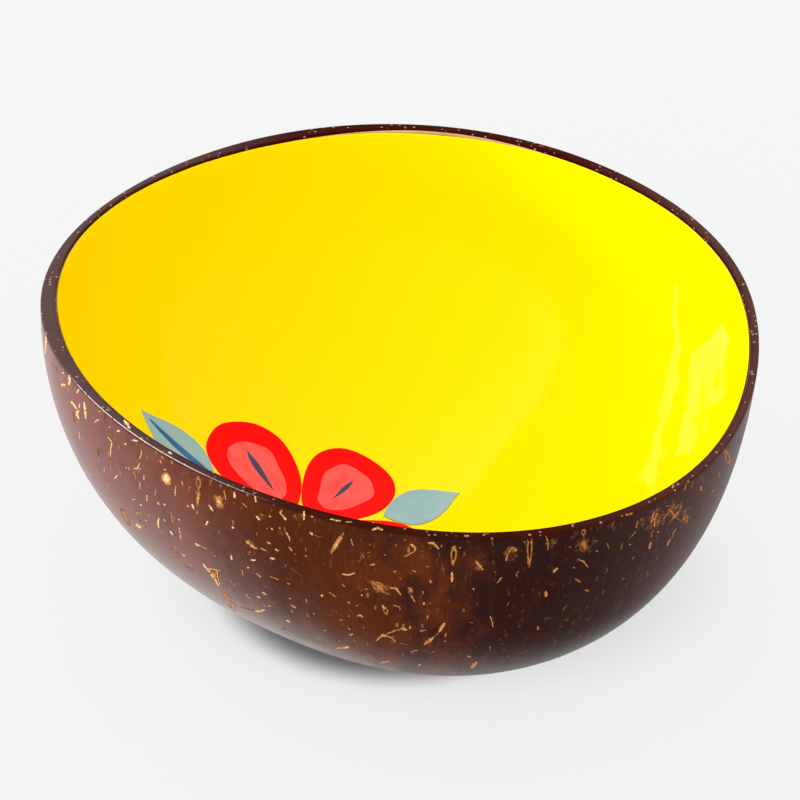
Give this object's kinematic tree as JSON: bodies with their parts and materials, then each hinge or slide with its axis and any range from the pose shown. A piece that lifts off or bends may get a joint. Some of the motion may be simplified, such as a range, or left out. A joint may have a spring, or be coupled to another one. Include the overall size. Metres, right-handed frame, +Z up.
{
  "type": "coconut shell bowl",
  "caption": "Bowl made from half a polished coconut shell with a level rim and a small flat foot, lacquered yellow inside, with a painted blossom and leaves on its floor.",
  "frame": {"origin": "middle of the bowl's box in X and Y, on the plane of the ground foot", "axes": "+Z up from the foot to the mouth; -Y is the side nearest the viewer in the picture, +X its right"},
  "size_m": [0.1278, 0.1358, 0.057],
  "materials": {
    "polished_shell": "polished natural coconut shell, dark red-brown with pale fibre flecks, satin to semi-gloss",
    "ground_coat": "pale tan ground coat, matt",
    "yellow_lacquer": "thick hand-applied lacquer, high gloss",
    "red_paint": "opaque paint, gloss",
    "coral_paint": "thin paint, gloss",
    "navy_paint": "opaque paint, semi-gloss",
    "grey_blue_paint": "opaque paint, semi-gloss",
    "blue_paint": "opaque paint, semi-gloss"
  },
  "bodies": {
    "root": {"coconut_shell": "polished_shell", "ground_coat": "ground_coat", "yellow_lacquer": "yellow_lacquer", "red_petals": "red_paint", "coral_blush": "coral_paint", "navy_strokes": "navy_paint", "grey_blue_leaves": "grey_blue_paint", "blue_leaf_veins": "blue_paint"}
  },
  "joints": []
}
